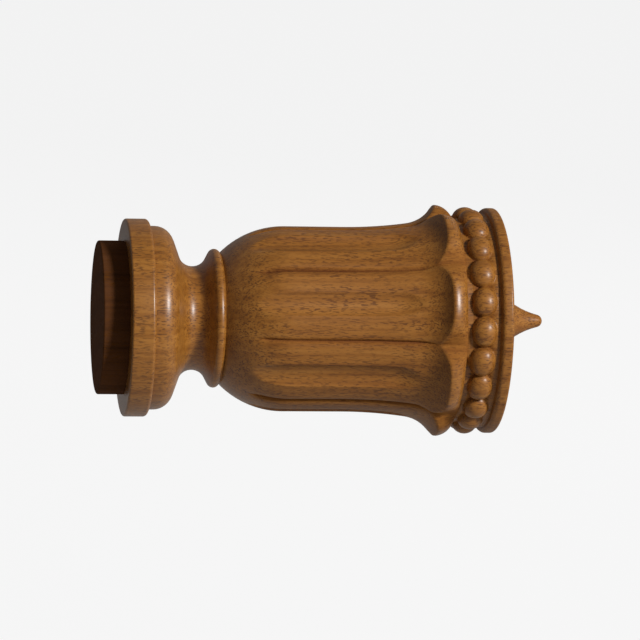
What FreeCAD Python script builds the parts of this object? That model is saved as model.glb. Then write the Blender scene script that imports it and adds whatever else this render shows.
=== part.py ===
"""Curtain pole finial in carved hardwood, one piece, as a parametric FreeCAD document in millimetres.

The blank is turned about X: spigot, collar, neck, ring, bell, bead moulding, end disc and spike.
It is then carved: eight leaves on the bell, parted by creases, each with a flute and a curled
tongue at its tip, and a ring of beads between the tongues and the disc.
X runs along the finial towards the spike, Z is up, and the origin is on the axis at the collar's back.
"""

import FreeCAD
import Part
import Sketcher

import math
import os

# Driving sizes, in millimetres, and whole counts
SIZES = {
    "spigot_diameter": 50.0,
    "spigot_length": 8.5,
    "collar_diameter": 64.4,
    "collar_thickness": 7.7,
    "collar_front_round": 1.2,
    "ovolo_diameter": 59.8,
    "ovolo_land": 2.2,
    "ovolo_round": 6.0,
    "neck_diameter": 33.8,
    "neck_distance": 22.4,
    "neck_round": 5.0,
    "ring_diameter": 45.3,
    "ring_distance": 7.1,
    "ring_round": 1.75,
    "groove_diameter": 42.4,
    "bell_diameter": 60.6,
    "shoulder_length": 23.0,
    "bell_straight": 32.5,
    "flare_length": 18.5,
    "lip_diameter": 76.3,
    "lip_front_round": 3.6,
    "bead_floor_length": 12.1,
    "disc_diameter": 74.4,
    "disc_round": 2.0,
    "spike_length": 15.8,
    "spike_base_diameter": 26.0,
    "spike_flank_round": 23.0,
    "spike_tip_round": 1.6,
    "leaf_count": 8,
    "crease_depth": 1.0,
    "crease_width": 4.0,
    "crease_fade_length": 12.5,
    "crease_fade_round": 64.0,
    "flute_width": 7.2,
    "flute_floor_width": 2.4,
    "flute_depth": 1.0,
    "flute_lift_round": 21.4,
    "notch_reach": 3.0,
    "notch_width": 16.0,
    "notch_side_round": 16.0,
    "notch_floor_diameter": 68.6,
    "overlap": 1.6,
    "bead_count": 22,
    "bead_diameter": 9.0,
    "bead_bevel": 2.4,
    "bead_height": 3.7,
    "bead_ring_diameter": 74.6,
}


# How far a facet of a round stretch may leave the true round
FACET_SAG = 0.22
# Sides of a bead, seen from outside
BEAD_SIDES = 12


class Size:
    """A formula of sheet cells, as the text to bind a constraint with and as its present value."""

    def __init__(self, text, value):
        self.text = text
        self.value = value

    def joined(self, sign, other, value):
        other_text = other.text if isinstance(other, Size) else repr(other)
        return Size(f"({self.text} {sign} {other_text})", value)

    def __add__(self, other):
        return self.joined("+", other, self.value + number(other))

    def __sub__(self, other):
        return self.joined("-", other, self.value - number(other))

    def __mul__(self, other):
        return self.joined("*", other, self.value * number(other))

    def __truediv__(self, other):
        return self.joined("/", other, self.value / number(other))


def number(item):
    return item.value if isinstance(item, Size) else item


def cell(name):
    return Size(f"Sizes.{name}", SIZES[name])


def root(size):
    return Size(f"sqrt({size.text})", math.sqrt(size.value))


def make_sheet(doc):
    sheet = doc.addObject("Spreadsheet::Sheet", "Sizes")
    for row, (name, value) in enumerate(SIZES.items(), start=1):
        sheet.set(f"A{row}", name)
        sheet.set(f"B{row}", str(value))
        sheet.setAlias(f"B{row}", name)
    doc.recompute()


class Outline:
    """A chain of lines and arcs in one sketch, drawn near its place and then held by constraints."""

    def __init__(self, sketch):
        self.sketch = sketch
        self.ends = {}

    def line(self, start, end):
        segment = Part.LineSegment(point(*start), point(*end))
        piece = self.sketch.addGeometry(segment, False)
        self.ends[piece] = (1, 2)
        return piece

    def arc(self, centre, radius, first, last):
        """Equal chords on a construction arc that runs between two angles, in degrees, either way round.

        A radius that is a Size binds the arc; one that is only a number is left to its neighbours.
        """
        circle = Part.Circle(point(*centre), FreeCAD.Vector(0, 0, 1), number(radius))
        low, high = sorted((math.radians(first), math.radians(last)))
        piece = self.sketch.addGeometry(Part.ArcOfCircle(circle, low, high), True)
        self.ends[piece] = (2, 1) if last < first else (1, 2)
        if isinstance(radius, Size):
            self.bind("Radius", radius, piece)
        self.add_chords(piece, centre, radius, first, last)
        return piece

    def add_chords(self, piece, centre, radius, first, last):
        widest = 2 * math.degrees(math.acos(max(0.0, 1 - FACET_SAG / number(radius))))
        count = max(1, round(abs(last - first) / widest))
        turns = [first + (last - first) * i / count for i in range(count + 1)]
        corners = [polar(centre, radius, turn) for turn in turns]
        chords = [self.line(a, b) for a, b in zip(corners, corners[1:])]
        self.hold("Coincident", *self.start(piece), *self.start(chords[0]))
        self.hold("Coincident", *self.end(piece), *self.end(chords[-1]))
        for chord, following in zip(chords, chords[1:]):
            self.corner(chord, following)
            self.hold("PointOnObject", *self.start(following), piece)
            self.hold("Equal", chord, following)

    def start(self, piece):
        return piece, self.ends[piece][0]

    def end(self, piece):
        return piece, self.ends[piece][1]

    def bind(self, kind, size, *picked):
        number_of = self.sketch.addConstraint(Sketcher.Constraint(kind, *picked, size.value))
        self.sketch.setExpression(f"Constraints[{number_of}]", size.text)

    def hold(self, kind, *picked):
        self.sketch.addConstraint(Sketcher.Constraint(kind, *picked))

    def corner(self, piece, following):
        self.hold("Coincident", *self.end(piece), *self.start(following))

    def smooth(self, *pieces):
        for piece, following in zip(pieces, pieces[1:]):
            self.hold("Tangent", *self.end(piece), *self.start(following))

    def across(self, picked, size):
        self.bind("DistanceX", size, -1, 1, *picked)

    def up(self, picked, size):
        self.bind("DistanceY", size, -1, 1, *picked)

    def on_axis(self, picked):
        self.hold("PointOnObject", *picked, -1)


def point(x, y):
    return FreeCAD.Vector(number(x), number(y), 0)


def crossing_tangent(centre, radius, next_centre, next_radius):
    """For a line that crosses over from one circle to touch the next: the angle from the first
    centre to the second, and the angle from there to the point where the line touches.
    """
    first = point(*centre)
    second = point(*next_centre)
    apart = second - first
    reach = math.acos(min(1.0, (number(radius) + number(next_radius)) / apart.Length))
    return math.degrees(math.atan2(apart.y, apart.x)), math.degrees(reach)


def rising_arc(start, end):
    """The centre, radius and last angle of an arc that leaves start level and rises to end."""
    run = number(end[0]) - number(start[0])
    rise = number(end[1]) - number(start[1])
    radius = (run**2 + rise**2) / (2 * rise)
    centre = (number(start[0]), number(start[1]) + radius)
    return centre, radius, 360 - math.degrees(math.atan2(radius - rise, run))


def polar(centre, radius, angle):
    turn = math.radians(angle)
    return (
        number(centre[0]) + number(radius) * math.cos(turn),
        number(centre[1]) + number(radius) * math.sin(turn),
    )


def origin_feature(body, role):
    for feature in body.Origin.OriginFeatures:
        if feature.Role == role:
            return feature
    raise ValueError(f"the body has no {role}")


def new_sketch(body, name, plane, turn=None, offset=None):
    """A sketch on one of the body's planes, turned about X by an angle and set off along its normal."""
    sketch = body.newObject("Sketcher::SketchObject", name)
    sketch.AttachmentSupport = [(origin_feature(body, plane), "")]
    sketch.MapMode = "FlatFace"
    if turn is not None:
        spin = FreeCAD.Vector(1, 0, 0) if plane == "XZ_Plane" else FreeCAD.Vector(0, 0, 1)
        sketch.AttachmentOffset = FreeCAD.Placement(
            FreeCAD.Vector(), FreeCAD.Rotation(spin, turn.value)
        )
        sketch.setExpression("AttachmentOffset.Rotation.Angle", turn.text)
    if offset is not None:
        sketch.setExpression("AttachmentOffset.Base.z", offset.text)
    return sketch


# Radii and stations along the axis, each worked out from the driving sizes
spigot_r = cell("spigot_diameter") / 2
collar_r = cell("collar_diameter") / 2
ovolo_r = cell("ovolo_diameter") / 2
neck_r = cell("neck_diameter") / 2
ring_r = cell("ring_diameter") / 2
groove_r = cell("groove_diameter") / 2
bell_r = cell("bell_diameter") / 2
lip_r = cell("lip_diameter") / 2
crest_r = cell("bead_ring_diameter") / 2
floor_r = crest_r - cell("bead_height")
core_r = floor_r - cell("overlap")
notch_floor_r = cell("notch_floor_diameter") / 2
disc_r = cell("disc_diameter") / 2
spike_r = cell("spike_base_diameter") / 2
bead_r = cell("bead_diameter") / 2
step_x = cell("collar_thickness")
ovolo_x = step_x + cell("ovolo_land")
neck_x = cell("neck_distance")
ring_x = neck_x + cell("ring_distance")
bell_x = ring_x + cell("shoulder_length")
bell_end_x = bell_x + cell("bell_straight")
lip_x = bell_end_x + cell("flare_length")
lip_foot_x = lip_x + cell("lip_front_round")
bead_x = lip_foot_x + cell("bead_floor_length") / 2
disc_foot_x = lip_foot_x + cell("bead_floor_length")
disc_x = disc_foot_x + cell("disc_round")
face_x = disc_x + cell("disc_round")
tip_x = face_x + cell("spike_length")
carve_x = bell_x - cell("crease_fade_length")
half_pitch = Size("(180 / Sizes.leaf_count)", 180 / SIZES["leaf_count"])


def draw_turned_profile(sketch):
    """Half the section of the turned blank, from the spigot's end round to the tip and back on the axis."""
    draw = Outline(sketch)
    back = cell("spigot_length")
    front_round = cell("collar_front_round")

    # Spigot and collar
    spigot_end = draw.line((-back.value, 0), (-back.value, spigot_r))
    spigot_side = draw.line((-back.value, spigot_r), (0, spigot_r))
    collar_back = draw.line((0, spigot_r), (0, collar_r))
    collar_rim = draw.line((0, collar_r), (step_x - front_round, collar_r))
    front_edge = draw.arc((step_x - front_round, collar_r - front_round), front_round, 90, 0)
    collar_step = draw.line((step_x, collar_r - front_round), (step_x, ovolo_r))

    # Ovolo, neck and ring, with straight flanks that touch the round stretches
    ovolo_round = cell("ovolo_round")
    neck_round = cell("neck_round")
    ring_round = cell("ring_round")
    ovolo_centre = (ovolo_x, ovolo_r - ovolo_round)
    neck_centre = (neck_x, neck_r + neck_round)
    ring_centre = (ring_x, ring_r - ring_round)
    aim, reach = crossing_tangent(ovolo_centre, ovolo_round, neck_centre, neck_round)
    ovolo_touch = aim + reach
    aim, reach = crossing_tangent(neck_centre, neck_round, ring_centre, ring_round)
    neck_touch = aim - reach
    groove_angle = math.degrees(math.asin((groove_r - ring_centre[1]).value / ring_round.value))
    ovolo_top = draw.line((step_x, ovolo_r), (ovolo_x, ovolo_r))
    ovolo = draw.arc(ovolo_centre, ovolo_round, 90, ovolo_touch)
    ovolo_flank = draw.line(
        polar(ovolo_centre, ovolo_round, ovolo_touch),
        polar(neck_centre, neck_round, ovolo_touch + 180),
    )
    neck = draw.arc(neck_centre, neck_round, ovolo_touch + 180, neck_touch + 360)
    ring_flank = draw.line(
        polar(neck_centre, neck_round, neck_touch),
        polar(ring_centre, ring_round, neck_touch + 180),
    )
    ring = draw.arc(ring_centre, ring_round, neck_touch + 180, groove_angle)

    # Bell, from the groove over its shoulder, along its straight side and out to the flare
    groove = polar(ring_centre, ring_round, groove_angle)
    shoulder_run = bell_x.value - groove[0]
    shoulder_rise = bell_r.value - groove[1]
    shoulder_round = (shoulder_run**2 + shoulder_rise**2) / (2 * shoulder_rise)
    shoulder_centre = (bell_x, bell_r.value - shoulder_round)
    shoulder_angle = 90 + math.degrees(math.asin(shoulder_run / shoulder_round))
    flare_centre, flare_round, lip_angle = rising_arc((bell_end_x, bell_r), (lip_x, lip_r))
    shoulder = draw.arc(shoulder_centre, shoulder_round, shoulder_angle, 90)
    bell = draw.line((bell_x, bell_r), (bell_end_x, bell_r))
    flare = draw.arc(flare_centre, flare_round, 270, lip_angle)

    # Curled lip, the core inside the seat of the beads, and the end disc
    lip_front_round = cell("lip_front_round")
    disc_round = cell("disc_round")
    lip_front_centre = (lip_x, lip_r - lip_front_round)
    disc_centre = (disc_x, disc_r - disc_round)
    lip_front = draw.arc(lip_front_centre, lip_front_round, 90, 0)
    lip_wall = draw.line((lip_foot_x, lip_front_centre[1]), (lip_foot_x, core_r))
    core = draw.line((lip_foot_x, core_r), (disc_foot_x, core_r))
    disc_wall = draw.line((disc_foot_x, core_r), (disc_foot_x, disc_centre[1]))
    disc = draw.arc(disc_centre, disc_round, 180, 0)

    # End face and spike
    flank_round = cell("spike_flank_round")
    tip_round = cell("spike_tip_round")
    tip_centre = (tip_x - tip_round, 0)
    flank_centre = spike_flank_centre((face_x.value, spike_r.value), flank_round, tip_centre, tip_round)
    base_angle = math.degrees(math.atan2(spike_r.value - flank_centre[1], face_x.value - flank_centre[0]))
    tip_angle = math.degrees(math.atan2(-flank_centre[1], tip_centre[0].value - flank_centre[0]))
    end_face = draw.line((face_x, disc_centre[1]), (face_x, spike_r))
    flank = draw.arc(flank_centre, flank_round, base_angle % 360, tip_angle % 360)
    tip = draw.arc(tip_centre, tip_round, tip_angle + 180, 0)
    axis = draw.line((tip_x, 0), (-back.value, 0))

    # Joints between the stretches
    draw.corner(spigot_end, spigot_side)
    draw.corner(spigot_side, collar_back)
    draw.corner(collar_back, collar_rim)
    draw.smooth(collar_rim, front_edge, collar_step)
    draw.corner(collar_step, ovolo_top)
    draw.smooth(ovolo_top, ovolo, ovolo_flank, neck, ring_flank, ring)
    draw.corner(ring, shoulder)
    draw.smooth(shoulder, bell, flare)
    draw.corner(flare, lip_front)
    draw.smooth(lip_front, lip_wall)
    draw.corner(lip_wall, core)
    draw.corner(core, disc_wall)
    draw.smooth(disc_wall, disc, end_face)
    draw.corner(end_face, flank)
    draw.smooth(flank, tip)
    draw.corner(tip, axis)
    draw.corner(axis, spigot_end)
    for level in (spigot_side, collar_rim, ovolo_top, bell, core, axis):
        draw.hold("Horizontal", level)
    for upright in (spigot_end, collar_back, collar_step, lip_wall, disc_wall, end_face):
        draw.hold("Vertical", upright)

    # Sizes
    draw.on_axis(draw.start(spigot_end))
    draw.bind("DistanceX", back, *draw.start(spigot_end), -1, 1)
    draw.up(draw.end(spigot_side), spigot_r)
    draw.hold("PointOnObject", *draw.end(spigot_side), -2)
    draw.up(draw.start(collar_rim), collar_r)
    draw.across(draw.end(collar_step), step_x)
    draw.up(draw.start(ovolo_top), ovolo_r)
    draw.across(draw.end(ovolo_top), ovolo_x)
    placed = (neck_centre, neck), (ring_centre, ring), (lip_front_centre, lip_front), (disc_centre, disc)
    for centre, piece in placed:
        draw.across((piece, 3), centre[0])
        draw.up((piece, 3), centre[1])
    draw.up(draw.end(ring), groove_r)
    draw.up(draw.start(bell), bell_r)
    draw.across(draw.start(bell), bell_x)
    draw.across(draw.end(bell), bell_end_x)
    draw.across(draw.end(flare), lip_x)
    draw.up(draw.start(core), core_r)
    draw.up(draw.end(end_face), spike_r)
    draw.on_axis((tip, 3))
    draw.across(draw.end(tip), tip_x)


def spike_flank_centre(base, flank_radius, tip_centre, tip_radius):
    """The centre of the hollow flank that passes through the spike's base and touches its tip."""
    start = point(*base)
    finish = point(*tip_centre)
    apart = finish - start
    from_base = number(flank_radius)
    from_tip = number(flank_radius) + number(tip_radius)
    along = (from_base**2 - from_tip**2 + apart.Length**2) / (2 * apart.Length)
    height = math.sqrt(from_base**2 - along**2)
    ahead = apart / apart.Length
    centre = start + ahead * along + FreeCAD.Vector(-ahead.y, ahead.x, 0) * height
    return centre.x, centre.y


def draw_crease_path(sketch):
    """The bottom of a crease: it fades in over the shoulder, follows the bell and fades out at the lip's crest."""
    draw = Outline(sketch)
    level = bell_r - cell("crease_depth")
    fade_round = cell("crease_fade_round")
    fade_centre = (bell_x, level - fade_round)
    fade_angle = 90 + math.degrees(math.asin((bell_x - carve_x).value / fade_round.value))
    flare_centre, flare_round, lip_angle = rising_arc((bell_end_x, level), (lip_x, lip_r))
    fade = draw.arc(fade_centre, fade_round, fade_angle, 90)
    along = draw.line((bell_x, level), (bell_end_x, level))
    flare = draw.arc(flare_centre, flare_round, 270, lip_angle)
    draw.smooth(fade, along, flare)
    draw.hold("Horizontal", along)
    draw.across(draw.start(fade), carve_x)
    draw.across(draw.start(along), bell_x)
    draw.up(draw.start(along), level)
    draw.across(draw.end(along), bell_end_x)
    draw.across(draw.end(flare), lip_x)
    draw.up(draw.end(flare), lip_r)


def draw_crease_section(sketch):
    """A shallow V, wider at its open top, that stands on the start of the crease's path."""
    draw = Outline(sketch)
    fade_round = cell("crease_fade_round")
    fade_length = cell("crease_fade_length")
    fade_drop = fade_round - root(fade_round * fade_round - fade_length * fade_length)
    bottom = bell_r - cell("crease_depth") - fade_drop
    rise = cell("crease_depth") + cell("overlap")
    half = rise * cell("crease_width") / (cell("crease_depth") * 2)
    top = bottom + rise
    left = draw.line((0, bottom), (-half.value, top))
    lid = draw.line((-half.value, top), (half, top))
    right = draw.line((half, top), (0, bottom))
    draw.corner(left, lid)
    draw.corner(lid, right)
    draw.corner(right, left)
    draw.hold("Horizontal", lid)
    draw.hold("PointOnObject", *draw.start(left), -2)
    draw.up(draw.start(left), bottom)
    draw.across(draw.end(lid), half)
    draw.bind("DistanceX", half, *draw.start(lid), -1, 1)
    draw.up(draw.end(lid), top)


def draw_flute_path(sketch):
    """The bottom of a flute: level along the bell, so that it runs out on the shoulder, then out of the flare."""
    draw = Outline(sketch)
    level = bell_r - cell("flute_depth")
    lift_round = cell("flute_lift_round")
    along = draw.line((carve_x, level), (bell_end_x, level))
    lift = draw.arc((bell_end_x, level + lift_round), lift_round, 270, 360)
    draw.smooth(along, lift)
    draw.hold("Horizontal", along)
    draw.hold("Horizontal", lift, 3, *draw.end(lift))
    draw.across(draw.start(along), carve_x)
    draw.up(draw.start(along), level)
    draw.across(draw.end(along), bell_end_x)


def draw_flute_section(sketch):
    """A gouge cut with a narrow floor and sloping sides, carried on above the bell."""
    draw = Outline(sketch)
    depth = cell("flute_depth")
    floor_half = cell("flute_floor_width") / 2
    rise = depth + cell("overlap")
    top_half = floor_half + (cell("flute_width") / 2 - floor_half) * rise / depth
    bottom = bell_r - depth
    top = bottom + rise
    floor = draw.line((-floor_half.value, bottom), (floor_half, bottom))
    right = draw.line((floor_half, bottom), (top_half, top))
    lid = draw.line((top_half, top), (-top_half.value, top))
    left = draw.line((-top_half.value, top), (-floor_half.value, bottom))
    for piece, following in ((floor, right), (right, lid), (lid, left), (left, floor)):
        draw.corner(piece, following)
    draw.hold("Horizontal", floor)
    draw.hold("Horizontal", lid)
    draw.bind("DistanceX", floor_half, *draw.start(floor), -1, 1)
    draw.across(draw.end(floor), floor_half)
    draw.across(draw.start(lid), top_half)
    draw.bind("DistanceX", top_half, *draw.end(lid), -1, 1)
    draw.up(draw.start(floor), bottom)
    draw.up(draw.start(lid), top)


def draw_notch(sketch):
    """The gap between two tongues, seen from outside: a point that opens in two curves towards the beads."""
    draw = Outline(sketch)
    apex_x = lip_x - cell("notch_reach")
    half = cell("notch_width") / 2
    side_round = cell("notch_side_round")
    apex = FreeCAD.Vector(apex_x.value, 0, 0)
    corner = FreeCAD.Vector(lip_foot_x.value, half.value, 0)
    chord = corner - apex
    off = math.sqrt(side_round.value**2 - (chord.Length / 2) ** 2)
    ahead = chord / chord.Length
    centre = (apex + corner) / 2 + FreeCAD.Vector(-ahead.y, ahead.x, 0) * off
    first = math.degrees(math.atan2(apex.y - centre.y, apex.x - centre.x))
    last = math.degrees(math.atan2(corner.y - centre.y, corner.x - centre.x))
    right = draw.arc((centre.x, centre.y), side_round, first, last)
    foot = draw.line((corner.x, corner.y), (corner.x, -corner.y))
    left = draw.arc((centre.x, -centre.y), side_round, -last, -first)
    draw.corner(right, foot)
    draw.corner(foot, left)
    draw.corner(left, right)
    draw.hold("Vertical", foot)
    draw.on_axis(draw.start(right))
    draw.across(draw.start(right), apex_x)
    draw.across(draw.start(foot), lip_foot_x)
    draw.up(draw.start(foot), half)
    draw.bind("DistanceY", half, *draw.end(foot), -1, 1)


def draw_bead_outline(sketch):
    """A bead seen from outside: an even polygon round the bead's own axis."""
    draw = Outline(sketch)
    turns = [360 * i / BEAD_SIDES for i in range(BEAD_SIDES + 1)]
    corners = [polar((bead_x, 0), bead_r, turn) for turn in turns]
    circle = sketch.addGeometry(Part.Circle(point(bead_x, 0), FreeCAD.Vector(0, 0, 1), bead_r.value), True)
    draw.on_axis((circle, 3))
    draw.across((circle, 3), bead_x)
    draw.bind("Radius", bead_r, circle)
    sides = [draw.line(a, b) for a, b in zip(corners, corners[1:])]
    for side, following in zip(sides, sides[1:] + sides[:1]):
        draw.corner(side, following)
        draw.hold("PointOnObject", *draw.start(side), circle)
    for side, following in zip(sides, sides[1:]):
        draw.hold("Equal", side, following)
    draw.on_axis(draw.start(sides[0]))


def make_bead_seat(body):
    """The band that the beads stand on, with one flat for each bead, let into the lip and the disc."""
    seat = body.newObject("PartDesign::AdditivePrism", "BeadSeat")
    seat.AttachmentSupport = [(origin_feature(body, "YZ_Plane"), "")]
    seat.MapMode = "FlatFace"
    seat.setExpression("AttachmentOffset.Base.z", (lip_foot_x - cell("overlap")).text)
    seat.setExpression("AttachmentOffset.Rotation.Angle", "90 - 180 / Sizes.bead_count")
    seat.setExpression("Polygon", cell("bead_count").text)
    seat.setExpression("Circumradius", f"{floor_r.text} / cos(180 / Sizes.bead_count)")
    seat.setExpression("Height", (cell("bead_floor_length") + cell("overlap") * 2).text)
    body.Document.recompute()


def make_bead(body):
    """A bead at the top of the ring, sunk through its seat and bevelled round its crown."""
    outline = new_sketch(body, "BeadOutline", "XY_Plane", offset=core_r)
    draw_bead_outline(outline)
    body.Document.recompute()
    stud = body.newObject("PartDesign::Pad", "BeadStud")
    stud.Profile = outline
    stud.setExpression("Length", (crest_r - core_r).text)
    body.Document.recompute()
    crown = FreeCAD.Vector(bead_x.value, 0, crest_r.value)
    faces = stud.Shape.Faces
    nearest = min(range(len(faces)), key=lambda i: (faces[i].CenterOfMass - crown).Length)
    bead = body.newObject("PartDesign::Chamfer", "Bead")
    bead.Base = (stud, [f"Face{nearest + 1}"])
    bead.setExpression("Size", cell("bead_bevel").text)
    bead.SupportTransform = True
    body.Document.recompute()
    return bead


def add_pattern(body, name, originals, count):
    """Repeats carved features round the axis."""
    pattern = body.newObject("PartDesign::PolarPattern", name)
    pattern.Originals = originals
    pattern.Axis = (origin_feature(body, "X_Axis"), [""])
    pattern.Angle = 360
    pattern.setExpression("Occurrences", cell(count).text)
    body.Tip = pattern
    body.Document.recompute()


def add_pipe(body, name, section, path):
    cut = body.newObject("PartDesign::SubtractivePipe", name)
    cut.Profile = section
    cut.Spine = (path, [f"Edge{i + 1}" for i in range(len(path.Shape.Edges))])
    cut.Transition = "Right corner"
    cut.Mode = "Binormal"
    cut.Binormal = path.Placement.Rotation.multVec(FreeCAD.Vector(0, 0, 1))
    body.Document.recompute()
    return cut


def make_finial(doc):
    body = doc.addObject("PartDesign::Body", "Finial")
    body.Label = "finial"
    doc.recompute()

    profile = new_sketch(body, "TurnedProfile", "XZ_Plane")
    draw_turned_profile(profile)
    turned = body.newObject("PartDesign::Revolution", "Turned")
    turned.Profile = profile
    turned.ReferenceAxis = (profile, ["H_Axis"])
    turned.Angle = 360
    doc.recompute()

    # Creases between the leaves, and the notch that each one runs into between two tongues
    crease_path = new_sketch(body, "CreasePath", "XZ_Plane")
    draw_crease_path(crease_path)
    crease_section = new_sketch(body, "CreaseSection", "YZ_Plane", offset=carve_x)
    draw_crease_section(crease_section)
    doc.recompute()
    crease = add_pipe(body, "Crease", crease_section, crease_path)
    notch_outline = new_sketch(body, "NotchOutline", "XY_Plane", offset=notch_floor_r)
    draw_notch(notch_outline)
    notch = body.newObject("PartDesign::Pocket", "Notch")
    notch.Profile = notch_outline
    notch.Reversed = True
    notch.setExpression("Length", (lip_r - notch_floor_r + cell("overlap")).text)
    doc.recompute()
    add_pattern(body, "LeafParting", [crease, notch], "leaf_count")

    # A flute down the middle of each leaf
    flute_path = new_sketch(body, "FlutePath", "XZ_Plane", turn=half_pitch)
    draw_flute_path(flute_path)
    flute_section = new_sketch(body, "FluteSection", "YZ_Plane", turn=half_pitch, offset=carve_x)
    draw_flute_section(flute_section)
    doc.recompute()
    flute = add_pipe(body, "Flute", flute_section, flute_path)
    add_pattern(body, "Flutes", [flute], "leaf_count")

    # Beads
    make_bead_seat(body)
    bead = make_bead(body)
    add_pattern(body, "Beads", [bead], "bead_count")
    return body


def check(doc, body):
    for item in doc.Objects:
        if "Invalid" in item.State or "Error" in item.State:
            raise RuntimeError(f"{item.Name} did not build: {item.State}")
    if body.Shape.isNull() or not body.Shape.isValid():
        raise RuntimeError(f"{body.Label} is not a valid solid")


def main():
    doc = FreeCAD.newDocument("CurtainPoleFinial")
    make_sheet(doc)
    body = make_finial(doc)
    check(doc, body)
    os.makedirs("parts", exist_ok=True)
    body.Shape.exportStep(os.path.join("parts", f"{body.Label}.step"))


main()
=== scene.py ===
"""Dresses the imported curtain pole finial: a finely carved wooden skin, studio light and the camera.

Lengths on the finial are in millimetres in the part's own frame, with X along the axis towards the
spike and Z up. They become metres where the mesh, the wood and the camera are made.
"""

import math

import bpy
import numpy as np
from mathutils import Matrix, Vector

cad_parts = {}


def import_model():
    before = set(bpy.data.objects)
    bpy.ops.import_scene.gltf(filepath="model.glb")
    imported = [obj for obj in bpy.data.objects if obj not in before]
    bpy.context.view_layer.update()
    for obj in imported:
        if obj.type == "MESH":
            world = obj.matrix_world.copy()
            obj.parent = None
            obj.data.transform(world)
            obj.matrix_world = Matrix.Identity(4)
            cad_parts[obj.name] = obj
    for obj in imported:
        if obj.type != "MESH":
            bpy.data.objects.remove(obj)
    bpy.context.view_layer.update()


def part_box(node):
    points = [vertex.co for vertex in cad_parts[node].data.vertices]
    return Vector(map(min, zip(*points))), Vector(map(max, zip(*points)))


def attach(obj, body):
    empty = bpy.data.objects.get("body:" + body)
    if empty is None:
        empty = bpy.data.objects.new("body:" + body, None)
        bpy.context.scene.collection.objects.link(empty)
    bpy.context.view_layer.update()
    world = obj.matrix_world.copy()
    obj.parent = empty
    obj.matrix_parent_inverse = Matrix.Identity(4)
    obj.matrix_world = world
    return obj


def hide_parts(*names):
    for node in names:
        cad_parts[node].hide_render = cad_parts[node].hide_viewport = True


MM = 0.001
FULL_TURN = 2 * math.pi

# Turned outline: radii, stations along the axis, and rounds
SPIGOT_R = 25.0
SPIGOT_EDGE = 0.5
COLLAR_R = 32.2
COLLAR_X = 7.7
COLLAR_BACK_ROUND = 0.7
COLLAR_FRONT_ROUND = 1.2
OVOLO_R = 29.9
OVOLO_X = 9.9
OVOLO_ROUND = 6.0
NECK_R = 16.9
NECK_X = 22.4
NECK_ROUND = 5.0
RING_R = 22.65
RING_X = 29.5
RING_ROUND = 1.75
GROOVE_R = 21.2
BELL_R = 30.3
BELL_X = 52.5
FLARE_X = 72.0
FLARE_ROUND = 150.0
CURL_X = 93.0
CURL_ROUND = 13.2
CREST_X = 102.55
FLOOR_X = 107.8
FLOOR_R = 33.6
COVE_R = 34.9
COVE_ROUND = 0.6
DISC_R = 37.1
DISC_X = 118.4
DISC_BACK_ROUND = 1.5
DISC_FRONT_ROUND = 0.9
FACE_X = 122.3
SPIKE_BASE_R = 12.4
SPIKE_FLANK_ROUND = 26.0
SPIKE_TIP_ROUND = 2.1

# Leaves of the bell: the creases between them, the flutes down them and the tongues they end in
LEAVES = 8
CARVE_X = 38.5
CREASE_DEPTH = 1.5
CREASE_SOFTNESS = 0.75
CREASE_START_X = 39.0
CREASE_FULL_X = 45.0
CREASE_FADE = 0.7
FLUTE_WIDTH = 8.0
FLUTE_DEPTH = 1.7
FLUTE_SINK_ROUND = 75.0
FLUTE_EDGE = 0.06
FLUTE_LIFT = 1.5
FLUTE_LIFT_X = 86.0
FLUTE_END_X = 99.5
GOUGE_REACH = 0.95
TONGUE_SWEEP = 3.9
TONGUE_POWER = 3.4
CREST_EASING = 0.3

# Ring of beads
BEADS = 22
BEAD_TURN = 1.4
BEAD_HALF_LENGTH = 4.2
BEAD_HALF_WIDTH = 5.5
BEAD_SQUARENESS = 2.15
BEAD_X = 113.15
BEAD_CREST_R = 37.3
BEAD_GAP_DEPTH = 1.4

# Hand work: waves, each with its height, rate and start, and one crease that strays, in degrees
CUT_WAVES = ((0.007, 3, 1.0), (0.005, 5, 2.3))
DEPTH_WAVE = (0.10, 3, 0.4)
BEAD_TURN_WAVE = (0.010, 3.1, 0.0)
BEAD_LENGTH_WAVE = (0.1, 2.4, 0.0)
BEAD_SHIFT_WAVE = (0.18, 1.7, 0.5)
BEAD_HEIGHT_WAVE = (0.1, 1.3, 0.0)
STRAYED_CREASE = 139.0
STRAY = 4.5
STRAY_REACH = 25.0

# Recess: how far the carved places lose their lacquer and take painted shade, and where the valleys lie
# across a leaf
VALLEY_DULLNESS = 0.3
CARVED_DULLNESS = 0.14
BEAD_DULLNESS = 0.08
VALLEY_EDGE = 0.35
VALLEY_MIDDLE = 0.7

# Mesh: columns round the axis, the longest steps along the outline, and rows on the carving
PLAIN_COLUMNS = 176
CARVED_COLUMNS = 704
ARC_LEAST_STEPS = 3
ARC_STEP_ANGLE = 11.0
ARC_STEP = 2.2
LINE_STEP = 4.4
SHOULDER_ROWS = 16
STRAIGHT_ROWS = 13
LIP_ROWS = 16
LIP_CROWDING = 1.4
VALLEY_ROWS = 14
VALLEY_EASING = 5
BEAD_ROWS = 29
BEAD_FIRST_ANGLE = -80
BEAD_LAST_ANGLE = 90
BEAD_MARGIN = 0.1
SHARP_ANGLE = 50

# Wood tones from dark to light, as linear colours, and where they lie between 0 and 1
WOOD_TONES = ((0.201, 0.070, 0.008, 1), (0.281, 0.107, 0.014, 1), (0.345, 0.142, 0.023, 1))
# Painted shade: the spigot's tones are darkened to stand in for the collar's shadow on it
SPIGOT_SHADE_TONES = ((0.060, 0.022, 0.008, 1), (0.085, 0.031, 0.011, 1), (0.105, 0.039, 0.014, 1))
TONE_STOPS = (0.36, 0.49, 0.64)
PORE_TONE = (0.100, 0.033, 0.005, 1)
PORE_SHARE = 0.85
# Painted shade: the colour that the creases, the gaps round the beads and the other recesses are
# darkened towards, and how far
RECESS_SHADE_TONE = (0.135, 0.038, 0.011, 1)
RECESS_SHADE_SHARE = 0.75

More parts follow.
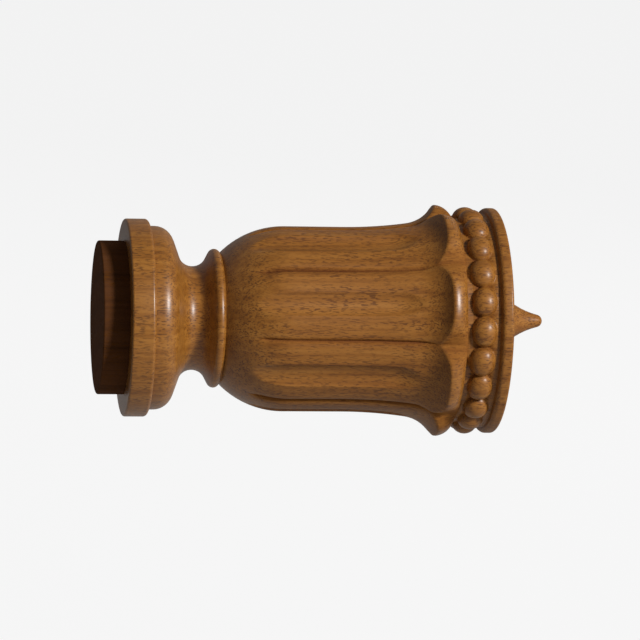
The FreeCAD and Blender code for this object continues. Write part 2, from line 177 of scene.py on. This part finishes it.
# Pith of the tree: where the finial's axis lies from it, in metres, and the directions that count
AXIS_FROM_PITH = (0.0, 0.031, 0.083)
ACROSS_THE_AXIS = (0, 1, 1)

# Wood grain: noise cells to a metre along X, Y and Z, and for the figure along X and out from the pith
FIGURE_CELLS = (20, 300, 1)
FIGURE_DETAIL = 4
FIGURE_DISTORTION = 0.4
FIGURE_SHARE = 0.45
STREAK_CELLS = (18, 700, 700)
STREAK_DETAIL = 4
STREAK_SHARE = 0.55
PORE_CELLS = (480, 2500, 2500)
PORE_DETAIL = 1
PORE_LIMITS = (0.525, 0.615)
FIELD_CELLS = (25, 220, 220)
FIELD_DETAIL = 2
FIELD_LIMITS = (0.34, 0.58)
FIELD_LEAST = 0.40
TOOL_MARK_CELLS = (110, 170, 170)
TOOL_MARK_DETAIL = 2
STIPPLE_CELLS = (850, 850, 850)
STIPPLE_DETAIL = 1

# Relief of the wood: heights beside a pore's depth of 1, and how they are shown
STREAK_HEIGHT = 0.4
TOOL_MARK_HEIGHT = 1.2
STIPPLE_HEIGHT = 4
BUMP_STRENGTH = 0.25
BUMP_DISTANCE = 0.15

# Finish of the wood
WOOD_ROUGHNESS = 0.45
WOOD_SPECULAR = 0.2
WOOD_COAT = 0.5
COAT_ROUGHNESS = 0.31
VALLEY_ROUGHNESS = 0.85
SPIGOT_ROUGHNESS = 0.9
SPIGOT_SPECULAR = 0.05
SPIGOT_COAT = 0.0

# Studio, in metres and watts: the sheen is how much of the white surroundings the lacquer mirrors
WHITE = (1, 1, 1, 1)
SHEEN_SHARE = 0.08
AMBIENT = 0.16
FLOOR_SIZE = 12
FLOOR_DROP = 0.35
FLOOR_GREY = (0.45, 0.45, 0.45, 1)
FLOOR_WHITE_SHARE = 0.88
LAMP_DISTANCE = 1.8
KEY_DIRECTION = (0.61, -0.64, 0.45)
KEY_WIDTH = 0.34
KEY_POWER = 36.0
BACK_DIRECTION = (0.30, 0.85, 0.40)
BACK_WIDTH = 0.9
BACK_POWER = 10.0

# Camera, read from the photograph: a frame of 640 by 640 and a focal length in its pixels
FRAME_PIXELS = 640
FOCAL_PIXELS = 3660
SENSOR_WIDTH = 36.0
CLIP_START = 0.05
VIEW_AZIMUTH = -8.95
VIEW_ELEVATION = 13.0
VIEW_ROLL = 2.5
VIEW_DISTANCE = 1200.0
VIEW_TARGET_X = 64.8
VIEW_TARGET_DROP = 0.3

# Inputs and output of Blender's Mix node when it mixes colours
MIX_SHARE = 0
MIX_FIRST = 6
MIX_SECOND = 7
MIX_RESULT = 2


def arc(centre, radius, first, last):
    """Points on a round of the turned outline, from one angle to another in degrees."""
    turn = abs(last - first)
    by_angle = math.ceil(turn / ARC_STEP_ANGLE)
    by_length = math.ceil(radius * math.radians(turn) / ARC_STEP)
    steps = max(ARC_LEAST_STEPS, by_angle, by_length)
    angles = np.radians(np.linspace(first, last, steps + 1))
    return np.column_stack((centre[0] + radius * np.cos(angles), centre[1] + radius * np.sin(angles)))


def line(start, end):
    """Points on a straight stretch of the outline, without its two ends."""
    steps = max(1, math.ceil(math.dist(start, end) / LINE_STEP))
    shares = np.arange(1, steps)[:, None] / steps
    return np.array(start) + (np.array(end) - np.array(start)) * shares


def joined(stretches):
    """One list of outline points, with points along the straight lines between the stretches."""
    points = []
    for stretch in stretches:
        if points:
            points.extend(tuple(p) for p in line(points[-1], stretch[0]))
        points.extend(tuple(p) for p in stretch)
    return points


def crossing_tangent(centre, radius, next_centre, next_radius):
    """The angle to the next centre, and from there to where a line that crosses over touches."""
    along = math.atan2(next_centre[1] - centre[1], next_centre[0] - centre[0])
    reach = math.acos((radius + next_radius) / math.dist(centre, next_centre))
    return math.degrees(along), math.degrees(reach)


def shoulder_arc(groove):
    """The centre and radius of the shoulder, from the groove up to the straight of the bell."""
    run = BELL_X - groove[0]
    rise = BELL_R - groove[1]
    radius = (run**2 + rise**2) / (2 * rise)
    return (BELL_X, BELL_R - radius), radius


def spike_flank(base, tip_centre):
    """The centre of the spike's hollow flank, which leaves its base and touches its tip."""
    apart = math.dist(base, tip_centre)
    from_tip = SPIKE_FLANK_ROUND + SPIKE_TIP_ROUND
    along = (SPIKE_FLANK_ROUND**2 - from_tip**2 + apart**2) / (2 * apart)
    height = math.sqrt(SPIKE_FLANK_ROUND**2 - along**2)
    ahead = (np.array(tip_centre) - np.array(base)) / apart
    return np.array(base) + ahead * along + np.array((-ahead[1], ahead[0])) * height


# Centres and meeting points that follow from the outline's sizes
OVOLO_CENTRE = (OVOLO_X, OVOLO_R - OVOLO_ROUND)
NECK_CENTRE = (NECK_X, NECK_R + NECK_ROUND)
RING_CENTRE = (RING_X, RING_R - RING_ROUND)
GROOVE_ANGLE = math.degrees(math.asin((GROOVE_R - RING_CENTRE[1]) / RING_ROUND))
GROOVE_POINT = (RING_X + RING_ROUND * math.cos(math.radians(GROOVE_ANGLE)), GROOVE_R)
SHOULDER_CENTRE, SHOULDER_ROUND = shoulder_arc(GROOVE_POINT)
CURL_SLOPE = math.asin((CURL_X - FLARE_X) / FLARE_ROUND)
CURL_R = BELL_R + FLARE_ROUND * (1 - math.cos(CURL_SLOPE))
CURL_CENTRE = (CURL_X - CURL_ROUND * math.sin(CURL_SLOPE), CURL_R + CURL_ROUND * math.cos(CURL_SLOPE))


def outline_to_carving(back_x):
    """The turned outline from the spigot's end to where the carving on the bell begins."""
    aim, reach = crossing_tangent(OVOLO_CENTRE, OVOLO_ROUND, NECK_CENTRE, NECK_ROUND)
    ovolo_touch = aim + reach
    aim, reach = crossing_tangent(NECK_CENTRE, NECK_ROUND, RING_CENTRE, RING_ROUND)
    neck_touch = aim - reach
    groove_side = math.degrees(math.atan2(GROOVE_R - SHOULDER_CENTRE[1], GROOVE_POINT[0] - BELL_X))
    carve_side = 90 + math.degrees(math.asin((BELL_X - CARVE_X) / SHOULDER_ROUND))
    spigot_edge = (back_x + SPIGOT_EDGE, SPIGOT_R - SPIGOT_EDGE)
    back_edge = (COLLAR_BACK_ROUND, COLLAR_R - COLLAR_BACK_ROUND)
    front_edge = (COLLAR_X - COLLAR_FRONT_ROUND, COLLAR_R - COLLAR_FRONT_ROUND)
    stretches = (
        [(back_x, SPIGOT_R / 2)],
        arc(spigot_edge, SPIGOT_EDGE, 180, 90),
        [(0, SPIGOT_R)],
        arc(back_edge, COLLAR_BACK_ROUND, 180, 90),
        arc(front_edge, COLLAR_FRONT_ROUND, 90, 0),
        [(COLLAR_X, OVOLO_R)],
        arc(OVOLO_CENTRE, OVOLO_ROUND, 90, ovolo_touch),
        arc(NECK_CENTRE, NECK_ROUND, ovolo_touch + 180, neck_touch + 360),
        arc(RING_CENTRE, RING_ROUND, neck_touch + 180, GROOVE_ANGLE),
        arc(SHOULDER_CENTRE, SHOULDER_ROUND, groove_side, carve_side)[1:-1],
    )
    return joined(stretches)


def outline_from_beads(tip_x):
    """The turned outline from the floor beside the beads to the end of the spike."""
    base = (FACE_X, SPIKE_BASE_R)
    tip_centre = (tip_x - SPIKE_TIP_ROUND, 0)
    flank_centre = spike_flank(base, tip_centre)
    base_angle = math.degrees(math.atan2(base[1] - flank_centre[1], base[0] - flank_centre[0]))
    tip_angle = math.degrees(math.atan2(-flank_centre[1], tip_centre[0] - flank_centre[0]))
    back_edge = (DISC_X + DISC_BACK_ROUND, DISC_R - DISC_BACK_ROUND)
    front_edge = (FACE_X - DISC_FRONT_ROUND, DISC_R - DISC_FRONT_ROUND)
    stretches = (
        arc((DISC_X - COVE_ROUND, COVE_R + COVE_ROUND), COVE_ROUND, 270, 360),
        arc(back_edge, DISC_BACK_ROUND, 180, 90),
        arc(front_edge, DISC_FRONT_ROUND, 90, 0),
        arc(flank_centre, SPIKE_FLANK_ROUND, base_angle % 360, tip_angle % 360),
        arc(tip_centre, SPIKE_TIP_ROUND, tip_angle + 180, 0)[1:-1],
    )
    return joined(stretches)


def smooth_step(low, high, x):
    """A rise from 0 at low to 1 at high that starts and ends gently."""
    share = np.clip((x - low) / (high - low), 0, 1)
    return share * share * (3 - 2 * share)


def soft_min(a, b, width):
    """The lower of two surfaces, with the edge between them eased over a small width."""
    gap = np.clip(0.5 + 0.5 * (b - a) / width, 0, 1)
    return b + (a - b) * gap - width * gap * (1 - gap)


def wave(places, height, rate, start):
    """A slight unevenness of hand work that comes and goes."""
    return height * np.sin(rate * places + start)


def bell_radius(x):
    """The bell before it is carved: shoulder, straight, flare and curl."""
    shoulder = SHOULDER_CENTRE[1] + np.sqrt(SHOULDER_ROUND**2 - np.minimum(x - BELL_X, 0) ** 2)
    flare = BELL_R + FLARE_ROUND - np.sqrt(FLARE_ROUND**2 - np.maximum(x - FLARE_X, 0) ** 2)
    curl = CURL_CENTRE[1] - np.sqrt(np.maximum(CURL_ROUND**2 - (x - CURL_CENTRE[0]) ** 2, 0))
    return np.where(x < BELL_X, shoulder, np.where(x < CURL_X, flare, curl))


def hand_waver(turns):
    """How far the carver's cuts fall from an even spacing round the bell, in radians."""
    waver = sum(wave(turns, *cut_wave) for cut_wave in CUT_WAVES)
    from_strayed = (np.degrees(turns) - STRAYED_CREASE) / STRAY_REACH
    return waver - math.radians(STRAY) * np.exp(-from_strayed**2)


def leaf_place(turns):
    """How far each column is from the middle of its leaf, from -1 at one crease to 1 at the next."""
    return 2 * np.mod((turns + hand_waver(turns)) * LEAVES / FULL_TURN, 1) - 1


def carved_bell(x, turns):
    """The carved bell's radius and recess, at stations x round the columns."""
    half_leaf = math.pi / LEAVES
    place = leaf_place(turns)
    plain = bell_radius(x)
    even = 1 + wave(turns, *DEPTH_WAVE)

    depth = CREASE_DEPTH * even * smooth_step(CREASE_START_X, CREASE_FULL_X, x)
    depth = depth * (1 - CREASE_FADE * smooth_step(CURL_X, CREST_X - TONGUE_SWEEP, x))
    from_crease = (1 - np.abs(place)) * half_leaf * plain
    crease = np.exp(-from_crease / CREASE_SOFTNESS)
    leaf = plain - depth * crease

    gouge = (FLUTE_WIDTH**2 / 4 + FLUTE_DEPTH**2) / (2 * FLUTE_DEPTH)
    across = np.clip(np.abs(place) * half_leaf * plain, 0, GOUGE_REACH * gouge)
    lift = 1 - FLUTE_LIFT * smooth_step(FLUTE_LIFT_X, FLUTE_END_X, x)
    sink = np.minimum(x - BELL_X, 0) ** 2 / (2 * FLUTE_SINK_ROUND)
    flute_floor = np.where(x < BELL_X, BELL_R, plain) - FLUTE_DEPTH * even * lift - sink
    flute = flute_floor + gouge - np.sqrt(gouge**2 - across**2)

    # Painted shade along the creases, carried by the recess to the wood's colour; it also dulls the
    # lacquer there
    crease_shade = crease * np.clip(depth / CREASE_DEPTH, 0, 1)
    recess = np.maximum(crease_shade, CARVED_DULLNESS * smooth_step(CARVE_X, BELL_X, x))
    return soft_min(leaf, flute, FLUTE_EDGE), recess


def bead_radius(x, turns):
    """The radius and recess of the floor and the beads on it, at stations x round the columns."""
    pitch = FULL_TURN / BEADS
    turned = turns - math.radians(BEAD_TURN)
    which = np.round(turned / pitch)
    across = np.abs(turned - which * pitch + wave(which, *BEAD_TURN_WAVE)) * BEAD_CREST_R
    half_length = BEAD_HALF_LENGTH + wave(which, *BEAD_LENGTH_WAVE)
    along = np.abs(x - BEAD_X - wave(which, *BEAD_SHIFT_WAVE))
    spread = (along / half_length) ** BEAD_SQUARENESS + (across / BEAD_HALF_WIDTH) ** BEAD_SQUARENESS
    room = np.maximum(1 - spread ** (2 / BEAD_SQUARENESS), 0)
    height = (BEAD_CREST_R - FLOOR_R + wave(which, *BEAD_HEIGHT_WAVE)) * np.sqrt(room)
    floor = FLOOR_R + (COVE_R - FLOOR_R) * smooth_step(BEAD_X, BEAD_X + BEAD_HALF_LENGTH, x)
    shown = np.maximum(FLOOR_R + height, floor)

    # Painted shade in the gaps between the beads and on the floor beside them; it also dulls the lacquer
    # there
    behind = smooth_step(BEAD_X - BEAD_HALF_LENGTH, BEAD_X - BEAD_HALF_LENGTH / 2, x)
    gap_shade = behind * np.clip(1 - (shown - FLOOR_R) / BEAD_GAP_DEPTH, 0, 1)
    return shown, np.maximum(gap_shade, BEAD_DULLNESS)


def crest_stations(turns):
    """Where the tongues end: furthest forward in the middle of a leaf, and swept back to its creases."""
    return CREST_X - TONGUE_SWEEP * np.abs(leaf_place(turns)) ** TONGUE_POWER


def bell_rows(turns):
    """Rows of stations, radii and recess from the shoulder to the crests of the tongues."""
    shoulder = np.linspace(CARVE_X, BELL_X, SHOULDER_ROWS, endpoint=False)
    straight = np.linspace(BELL_X, FLUTE_LIFT_X, STRAIGHT_ROWS)
    stations = [np.full_like(turns, station) for station in (*shoulder, *straight)]
    lip_run = crest_stations(turns) - FLUTE_LIFT_X
    shares = 1 - (1 - np.linspace(0, 1, LIP_ROWS + 1)[1:]) ** LIP_CROWDING
    stations += [FLUTE_LIFT_X + lip_run * share for share in shares]
    return [(x, *carved_bell(x, turns)) for x in stations]


def eased_round(values, times):
    """Evens values out round the axis, so that the valleys between the tongues have no fold."""
    for _ in range(times):
        values = (np.roll(values, 1) + 2 * values + np.roll(values, -1)) / 4
    return values


def valley_rows(turns):
    """Rows from the crests of the tongues down to the floor, evened out more the lower they lie."""
    crest_x = crest_stations(turns)
    crest_r, _ = carved_bell(crest_x, turns)
    recess = VALLEY_DULLNESS * smooth_step(VALLEY_EDGE, VALLEY_MIDDLE, np.abs(leaf_place(turns)))
    rows = []
    for number, angle in enumerate(np.radians(np.linspace(0, 90, VALLEY_ROWS + 1)[1:]), 1):
        x = crest_x + (FLOOR_X - crest_x) * math.sin(angle)
        radius = FLOOR_R + (crest_r - FLOOR_R) * math.cos(angle)
        times = VALLEY_EASING * number
        rows.append((eased_round(x, times), eased_round(radius, times), recess))
    return rows


def bead_rows(turns):
    """Rows over the beads, crowded towards both of their ends."""
    angles = np.radians(np.linspace(BEAD_FIRST_ANGLE, BEAD_LAST_ANGLE, BEAD_ROWS))
    swell = (BEAD_HALF_LENGTH + BEAD_MARGIN) * np.sin(angles)
    stations = [np.full_like(turns, station) for station in BEAD_X + swell]
    return [(x, *bead_radius(x, turns)) for x in stations]


def eased_crests(rows, crest):
    """The rows, with the tongues' crests rounded by easing three rows towards their neighbours."""
    eased = list(rows)
    for i in range(crest - 1, crest + 2):
        before, here, after = (np.array(row[:2]) for row in rows[i - 1 : i + 2])
        x, radius = (1 - CREST_EASING) * here + CREST_EASING * (before + after) / 2
        eased[i] = (x, radius, rows[i][2])
    return eased


def carved_rows(turns):
    """Rows over all of the carving, from the shoulder to the end of the bead floor."""
    rows = bell_rows(turns)
    crest = len(rows) - 1
    rows += valley_rows(turns)
    return eased_crests(rows, crest) + bead_rows(turns)


def ring(x, radius, turns):
    """The corners of one row, in metres."""
    x = np.broadcast_to(x, turns.shape)
    return np.column_stack((x, -radius * np.sin(turns), radius * np.cos(turns))) * MM


def bridge(first, count, following, following_count):
    """Faces between two rows; the finer has a whole number of columns to each of the coarser's."""
    if count == following_count:
        return [
            (first + i, first + (i + 1) % count, following + (i + 1) % count, following + i)
            for i in range(count)
        ]
    if count > following_count:
        turned = bridge(following, following_count, first, count)
        return [tuple(reversed(face)) for face in turned]
    faces = []
    parts = following_count // count
    middle = parts // 2
    for i in range(count):
        left = first + i
        right = first + (i + 1) % count
        fine = [following + (i * parts + k) % following_count for k in range(parts + 1)]
        faces.append((left, right, fine[middle]))
        faces.extend((left, fine[k + 1], fine[k]) for k in range(middle))
        faces.extend((right, fine[k + 1], fine[k]) for k in range(middle, parts))
    return faces


def make_finial(low_x, high_x):
    """The whole finial as one closed mesh, with fine rows on the carving and plain ones elsewhere."""
    plain_turns = np.arange(PLAIN_COLUMNS) * (FULL_TURN / PLAIN_COLUMNS)
    carved_turns = np.arange(CARVED_COLUMNS) * (FULL_TURN / CARVED_COLUMNS)
    no_recess = np.zeros(PLAIN_COLUMNS)
    head_recess = np.full(PLAIN_COLUMNS, CARVED_DULLNESS)

    outline = outline_to_carving(low_x)
    spigot_rows = outline.index((0, SPIGOT_R)) + 1
    rings = [(ring(x, r, plain_turns), no_recess) for x, r in outline]
    rings += [(ring(x, r, carved_turns), recess) for x, r, recess in carved_rows(carved_turns)]
    rings += [(ring(x, r, plain_turns), head_recess) for x, r in outline_from_beads(high_x)]

    starts = []
    corners = [np.array([(low_x * MM, 0, 0)])]
    recesses = [no_recess[:1]]
    count = 1
    for points, recess in rings:
        starts.append(count)
        corners.append(points)
        recesses.append(recess)
        count += len(points)
    corners.append(np.array([(high_x * MM, 0, 0)]))
    recesses.append(head_recess[:1])

    first = starts[0]
    last = starts[-1]
    faces = [(0, first + (i + 1) % PLAIN_COLUMNS, first + i) for i in range(PLAIN_COLUMNS)]
    for here, (start, following) in enumerate(zip(starts, starts[1:])):
        faces += bridge(start, len(rings[here][0]), following, len(rings[here + 1][0]))
    faces += [(last + i, last + (i + 1) % PLAIN_COLUMNS, count) for i in range(PLAIN_COLUMNS)]

    mesh = bpy.data.meshes.new("carved_finial")
    mesh.from_pydata(np.concatenate(corners).tolist(), [], faces)
    recess_values = mesh.attributes.new("recess", "FLOAT", "POINT").data
    recess_values.foreach_set("value", np.concatenate(recesses))
    # The spigot's faces take the second material, whose dark tones are painted shade
    on_spigot = np.arange(len(mesh.polygons)) < PLAIN_COLUMNS * spigot_rows
    mesh.polygons.foreach_set("material_index", on_spigot.astype(np.int32))
    mesh.shade_smooth()
    mesh.set_sharp_from_angle(angle=math.radians(SHARP_ANGLE))
    mesh.update()
    finial = bpy.data.objects.new("carved_finial", mesh)
    bpy.context.scene.collection.objects.link(finial)
    return finial


class Paint:
    """A node tree that is built up node by node."""

    def __init__(self, tree):
        self.tree = tree
        tree.nodes.clear()

    def node(self, kind, values=None, **settings):
        """A new node with these settings, and with each input linked to a socket or set to a value."""
        made = self.tree.nodes.new(kind)
        for name, value in settings.items():
            setattr(made, name, value)
        for socket, value in (values or {}).items():
            if isinstance(value, bpy.types.NodeSocket):
                self.tree.links.new(value, made.inputs[socket])
            else:
                made.inputs[socket].default_value = value
        return made

    def grain(self, place, cells, detail, distortion=0.0):
        """Noise with so many cells to a metre along X, Y and Z."""
        mapped = self.node("ShaderNodeMapping", {"Vector": place, "Scale": cells})
        values = {
            "Vector": mapped.outputs["Vector"],
            "Scale": 1.0,
            "Detail": detail,
            "Distortion": distortion,
        }
        return self.node("ShaderNodeTexNoise", values).outputs["Fac"]

    def remap(self, value, low, high, to_low=0.0, to_high=1.0):
        """A value that runs from low to high, made to run from to_low to to_high and no further."""
        values = {
            "Value": value,
            "From Min": low,
            "From Max": high,
            "To Min": to_low,
            "To Max": to_high,
        }
        return self.node("ShaderNodeMapRange", values).outputs["Result"]

    def maths(self, operation, first, second):
        """One of the Math node's operations on two values."""
        return self.node("ShaderNodeMath", {0: first, 1: second}, operation=operation).outputs[0]

    def plus(self, first, second):
        return self.maths("ADD", first, second)

    def minus(self, first, second):
        return self.maths("SUBTRACT", first, second)

    def times(self, first, second):
        return self.maths("MULTIPLY", first, second)

    def larger(self, first, second):
        return self.maths("MAXIMUM", first, second)

    def blend(self, share, first, second):
        """The first colour with a share of the second."""
        values = {MIX_SHARE: share, MIX_FIRST: first, MIX_SECOND: second}
        return self.node("ShaderNodeMix", values, data_type="RGBA").outputs[MIX_RESULT]


def growth_figure(paint, place):
    """The figure of the growth layers, which lie round a pith outside the finial."""
    values = {"Vector": place, "Location": AXIS_FROM_PITH, "Scale": ACROSS_THE_AXIS}
    from_pith = paint.node("ShaderNodeMapping", values).outputs["Vector"]
    growth = paint.node("ShaderNodeVectorMath", {0: from_pith}, operation="LENGTH").outputs["Value"]
    along = paint.node("ShaderNodeSeparateXYZ", {0: place}).outputs["X"]
    layers = paint.node("ShaderNodeCombineXYZ", {"X": along, "Y": growth}).outputs["Vector"]
    return paint.grain(layers, FIGURE_CELLS, FIGURE_DETAIL, FIGURE_DISTORTION)


def short_pores(paint, place):
    """Short dark pores along the grain, thicker in some fields than in others."""
    pores = paint.remap(paint.grain(place, PORE_CELLS, PORE_DETAIL), *PORE_LIMITS)
    fields = paint.remap(paint.grain(place, FIELD_CELLS, FIELD_DETAIL), *FIELD_LIMITS, FIELD_LEAST)
    return paint.times(pores, fields)


def wood_colour(paint, tones, tone, pores, recess):
    """The wood's colour by its tone, darker in the pores, and darkened by painted shade in the recesses.
    """
    ramp = paint.node("ShaderNodeValToRGB", {"Fac": tone})
    stops = ramp.color_ramp.elements
    stops.new(TONE_STOPS[1])
    for stop, position, colour in zip(stops, TONE_STOPS, tones):
        stop.position = position
        stop.color = colour
    pored = paint.blend(paint.times(pores, PORE_SHARE), ramp.outputs["Color"], PORE_TONE)
    # Painted shade: the recess value darkens the creases, the bead gaps and the valleys
    return paint.blend(paint.times(recess, RECESS_SHADE_SHARE), pored, RECESS_SHADE_TONE)


def wood_relief(paint, place, streak, pores, recess):
    """The fine relief of streaks, pores and tool marks, with a stipple in the deeper recesses."""
    marks = paint.times(paint.grain(place, TOOL_MARK_CELLS, TOOL_MARK_DETAIL), TOOL_MARK_HEIGHT)
    stippled = paint.remap(recess, CARVED_DULLNESS, VALLEY_DULLNESS, 0, STIPPLE_HEIGHT)
    stipple = paint.times(paint.grain(place, STIPPLE_CELLS, STIPPLE_DETAIL), stippled)
    height = paint.minus(paint.times(streak, STREAK_HEIGHT), pores)
    height = paint.plus(paint.plus(height, marks), stipple)
    values = {"Height": height, "Strength": BUMP_STRENGTH, "Distance": BUMP_DISTANCE * MM}
    return paint.node("ShaderNodeBump", values).outputs["Normal"]


def make_wood(name, tones, roughness, specular, coat):
    """Straight-grained brown hardwood with dark pores, under as much lacquer as the coat says."""
    material = bpy.data.materials.new(name)
    material.use_nodes = True
    paint = Paint(material.node_tree)
    place = paint.node("ShaderNodeTexCoord").outputs["Object"]
    recess = paint.node("ShaderNodeAttribute", attribute_name="recess").outputs["Fac"]
    figure = growth_figure(paint, place)
    streak = paint.grain(place, STREAK_CELLS, STREAK_DETAIL)
    pores = short_pores(paint, place)
    tone = paint.plus(paint.times(figure, FIGURE_SHARE), paint.times(streak, STREAK_SHARE))
    values = {
        "Base Color": wood_colour(paint, tones, tone, pores, recess),
        "Roughness": roughness,
        "Specular IOR Level": specular,
        "Normal": wood_relief(paint, place, streak, pores, recess),
    }
    if coat:
        values["Roughness"] = paint.remap(recess, 0, VALLEY_DULLNESS, roughness, VALLEY_ROUGHNESS)
        values["Coat Weight"] = paint.remap(recess, 0, VALLEY_DULLNESS, coat, 0)
        values["Coat Roughness"] = COAT_ROUGHNESS
    surface = paint.node("ShaderNodeBsdfPrincipled", values)
    paint.node("ShaderNodeOutputMaterial", {"Surface": surface.outputs["BSDF"]})
    return material


def seen_by_eye(paint):
    """1 for rays that show the background itself, and the sheen's share for those off shiny things."""
    rays = paint.node("ShaderNodeLightPath").outputs
    glossy = paint.times(rays["Is Glossy Ray"], SHEEN_SHARE)
    straight = paint.larger(rays["Is Camera Ray"], glossy)
    return paint.larger(straight, rays["Is Transmission Ray"])


def make_floor():
    """A plain pale floor well below the finial, which is held in the air by its spigot."""
    bpy.ops.mesh.primitive_plane_add(size=FLOOR_SIZE, location=(0, 0, -FLOOR_DROP))
    floor = bpy.context.object
    floor.name = "floor"
    material = bpy.data.materials.new("pale_floor")
    material.use_nodes = True
    paint = Paint(material.node_tree)
    share = paint.times(seen_by_eye(paint), FLOOR_WHITE_SHARE)
    matt = paint.node("ShaderNodeBsdfDiffuse", {"Color": FLOOR_GREY})
    white = paint.node("ShaderNodeEmission", {"Color": WHITE, "Strength": 1.0})
    values = {0: share, 1: matt.outputs["BSDF"], 2: white.outputs["Emission"]}
    mixed = paint.node("ShaderNodeMixShader", values)
    paint.node("ShaderNodeOutputMaterial", {"Surface": mixed.outputs["Shader"]})
    floor.data.materials.append(material)


def make_world():
    """White where it is seen, and an even low light where it falls on the finial."""
    world = bpy.data.worlds.new("studio")
    bpy.context.scene.world = world
    world.use_nodes = True
    paint = Paint(world.node_tree)
    strength = paint.remap(seen_by_eye(paint), 0, 1, AMBIENT, 1.0)
    background = paint.node("ShaderNodeBackground", {"Color": WHITE, "Strength": strength})
    paint.node("ShaderNodeOutputWorld", {"Surface": background.outputs["Background"]})


def make_lamp(name, target, direction, width, power, mirrored=True):
    """A round soft lamp that faces the target; one that isn't mirrored leaves no highlight."""
    lamp = bpy.data.lights.new(name, "AREA")
    lamp.shape = "DISK"
    lamp.size = width
    lamp.energy = power
    holder = bpy.data.objects.new(name, lamp)
    towards = Vector(direction).normalized()
    holder.location = target + towards * LAMP_DISTANCE
    holder.rotation_mode = "QUATERNION"
    holder.rotation_quaternion = towards.to_track_quat("Z", "Y")
    holder.visible_glossy = mirrored
    bpy.context.scene.collection.objects.link(holder)


def make_camera():
    """A long lens a little to the left and a little above, rolled so that the axis lies as pictured."""
    azimuth = math.radians(VIEW_AZIMUTH)
    elevation = math.radians(VIEW_ELEVATION)
    roll = math.radians(VIEW_ROLL)
    flat = math.cos(elevation)
    back = Vector((math.sin(azimuth) * flat, -math.cos(azimuth) * flat, math.sin(elevation)))
    level_right = Vector((math.cos(azimuth), math.sin(azimuth), 0))
    level_up = back.cross(level_right)
    right = level_right * math.cos(roll) + level_up * math.sin(roll)
    up = back.cross(right)
    target = Vector((VIEW_TARGET_X, 0, 0)) * MM - up * VIEW_TARGET_DROP * MM
    lens = bpy.data.cameras.new("camera")
    lens.sensor_width = SENSOR_WIDTH
    lens.lens = SENSOR_WIDTH * FOCAL_PIXELS / FRAME_PIXELS
    lens.clip_start = CLIP_START
    camera = bpy.data.objects.new("camera", lens)
    turned = Matrix((right, up, back)).transposed().to_4x4()
    camera.matrix_world = Matrix.Translation(target + back * VIEW_DISTANCE * MM) @ turned
    bpy.context.scene.collection.objects.link(camera)
    bpy.context.scene.camera = camera


def main():
    """Loads the frame, makes the finial, the stage and the camera."""
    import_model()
    node_low, node_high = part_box("finial")
    finial = make_finial(node_low.x / MM, node_high.x / MM)
    woods = (
        ("lacquered_wood", WOOD_TONES, WOOD_ROUGHNESS, WOOD_SPECULAR, WOOD_COAT),
        # The spigot's darker tones are painted shade of the collar's shadow; its finish is bare and matt
        ("spigot_painted_shade", SPIGOT_SHADE_TONES, SPIGOT_ROUGHNESS, SPIGOT_SPECULAR, SPIGOT_COAT),
    )
    for wood in woods:
        finial.data.materials.append(make_wood(*wood))
    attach(finial, "root")
    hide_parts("finial")

    middle = (node_low + node_high) / 2
    make_floor()
    make_world()
    make_lamp("key", middle, KEY_DIRECTION, KEY_WIDTH, KEY_POWER)
    make_lamp("back", middle, BACK_DIRECTION, BACK_WIDTH, BACK_POWER, mirrored=False)
    make_camera()
    bpy.context.scene.view_settings.view_transform = "Standard"


main()
